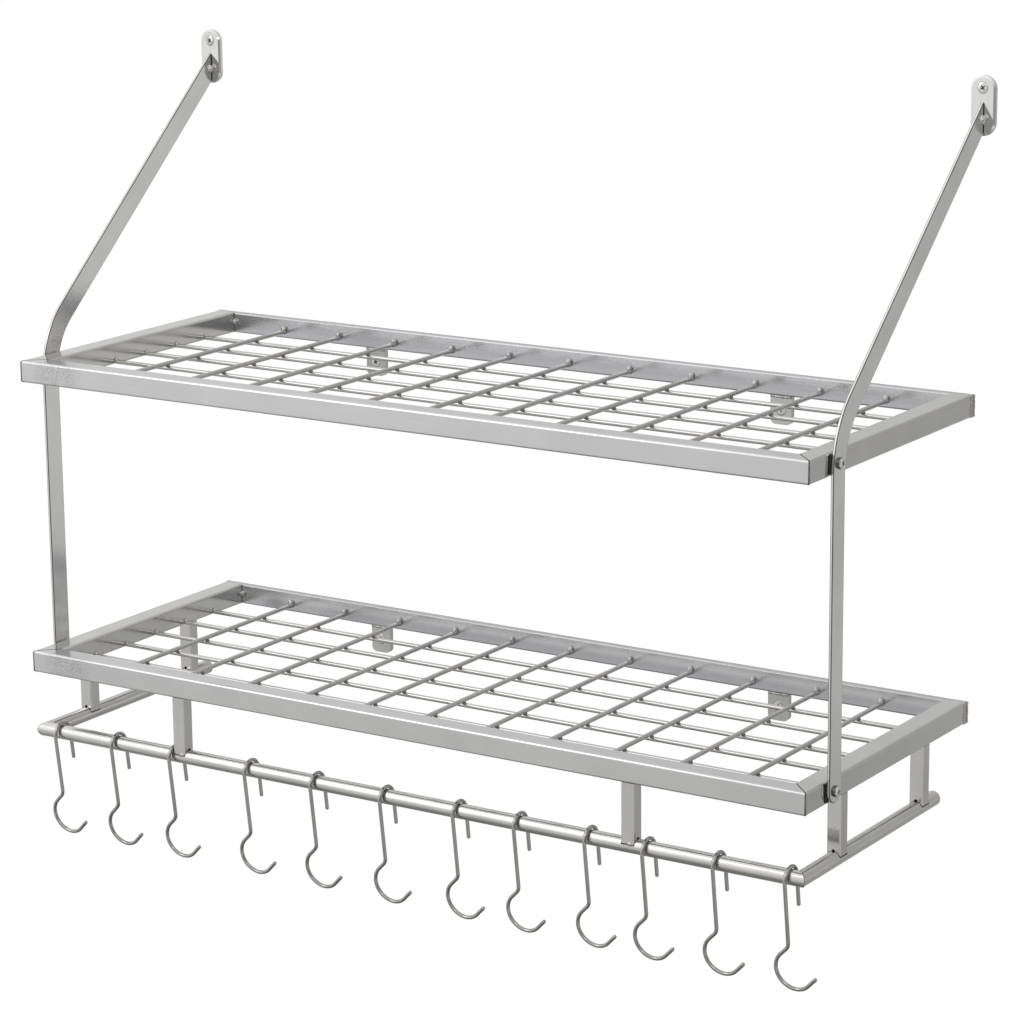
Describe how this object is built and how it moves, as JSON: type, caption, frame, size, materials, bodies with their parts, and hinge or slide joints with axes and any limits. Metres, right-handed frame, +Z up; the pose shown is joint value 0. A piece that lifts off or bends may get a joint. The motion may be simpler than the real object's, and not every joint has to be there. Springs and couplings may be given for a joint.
{
  "type": "wall-mounted pot rack",
  "caption": "Stainless steel wall rack with two wire-grid shelves in square-tube frames, bent flat straps up to wall plates, and a round rail below with swinging wire hooks.",
  "frame": {"origin": "on the wall plane, midway between the screw holes of the two lower wall tabs", "axes": "+X along the wall to the right as seen from the front, +Y into the wall, +Z up"},
  "size_m": [0.7884, 0.2883, 0.6794],
  "materials": {
    "rails": "satin",
    "wires": "satin",
    "tabs": "satin",
    "straps": "satin",
    "plates": "polished",
    "fasteners": "polished",
    "hook_rail": "polished",
    "posts": "satin",
    "hooks": "polished",
    "pads": "matte"
  },
  "bodies": {
    "rack": {"upper_front_rail": "rails", "upper_rear_rail": "rails", "upper_left_rail": "rails", "upper_right_rail": "rails", "lower_front_rail": "rails", "lower_rear_rail": "rails", "lower_left_rail": "rails", "lower_right_rail": "rails", "rear_rail_caps": "rails", "upper_cross_wires": "wires", "upper_long_wires": "wires", "lower_cross_wires": "wires", "lower_long_wires": "wires", "upper_left_tab": "tabs", "upper_right_tab": "tabs", "lower_left_tab": "tabs", "lower_right_tab": "tabs", "left_strap": "straps", "right_strap": "straps", "left_wall_plate": "plates", "right_wall_plate": "plates", "strap_pads": "pads", "strap_screws": "fasteners", "strap_nuts": "fasteners", "hook_rail_front": "hook_rail", "hook_rail_left": "hook_rail", "hook_rail_right": "hook_rail", "hook_rail_discs": "hook_rail", "front_left_post": "posts", "front_right_post": "posts", "left_near_post": "posts", "left_far_post": "posts", "right_near_post": "posts", "right_far_post": "posts"},
    "hook_01": {"hook_01": "hooks"},
    "hook_02": {"hook_02": "hooks"},
    "hook_03": {"hook_03": "hooks"},
    "hook_04": {"hook_04": "hooks"},
    "hook_05": {"hook_05": "hooks"},
    "hook_06": {"hook_06": "hooks"},
    "hook_07": {"hook_07": "hooks"},
    "hook_08": {"hook_08": "hooks"},
    "hook_09": {"hook_09": "hooks"},
    "hook_10": {"hook_10": "hooks"},
    "hook_11": {"hook_11": "hooks"},
    "hook_12": {"hook_12": "hooks"}
  },
  "joints": [
    {"name": "hook_01_swing", "type": "hinge", "parent": "rack", "child": "hook_01", "pos_m": [-0.35726, -0.277, -0.0405], "axis": [1, 0, 0], "range_deg": [-100, 75]},
    {"name": "hook_02_swing", "type": "hinge", "parent": "rack", "child": "hook_02", "pos_m": [-0.29472, -0.277, -0.0405], "axis": [1, 0, 0], "range_deg": [-100, 75]},
    {"name": "hook_03_swing", "type": "hinge", "parent": "rack", "child": "hook_03", "pos_m": [-0.2315, -0.277, -0.0405], "axis": [1, 0, 0], "range_deg": [-100, 75]},
    {"name": "hook_04_swing", "type": "hinge", "parent": "rack", "child": "hook_04", "pos_m": [-0.15101, -0.277, -0.0405], "axis": [1, 0, 0], "range_deg": [-100, 75]},
    {"name": "hook_05_swing", "type": "hinge", "parent": "rack", "child": "hook_05", "pos_m": [-0.08237, -0.277, -0.0405], "axis": [1, 0, 0], "range_deg": [-100, 75]},
    {"name": "hook_06_swing", "type": "hinge", "parent": "rack", "child": "hook_06", "pos_m": [-0.01201, -0.277, -0.0405], "axis": [1, 0, 0], "range_deg": [-100, 75]},
    {"name": "hook_07_swing", "type": "hinge", "parent": "rack", "child": "hook_07", "pos_m": [0.06006, -0.277, -0.0405], "axis": [1, 0, 0], "range_deg": [-100, 75]},
    {"name": "hook_08_swing", "type": "hinge", "parent": "rack", "child": "hook_08", "pos_m": [0.11883, -0.277, -0.0405], "axis": [1, 0, 0], "range_deg": [-100, 75]},
    {"name": "hook_09_swing", "type": "hinge", "parent": "rack", "child": "hook_09", "pos_m": [0.18533, -0.277, -0.0405], "axis": [1, 0, 0], "range_deg": [-100, 75]},
    {"name": "hook_10_swing", "type": "hinge", "parent": "rack", "child": "hook_10", "pos_m": [0.23845, -0.277, -0.0405], "axis": [1, 0, 0], "range_deg": [-100, 75]},
    {"name": "hook_11_swing", "type": "hinge", "parent": "rack", "child": "hook_11", "pos_m": [0.30193, -0.277, -0.0405], "axis": [1, 0, 0], "range_deg": [-100, 75]},
    {"name": "hook_12_swing", "type": "hinge", "parent": "rack", "child": "hook_12", "pos_m": [0.36515, -0.277, -0.0405], "axis": [1, 0, 0], "range_deg": [-100, 75]}
  ]
}
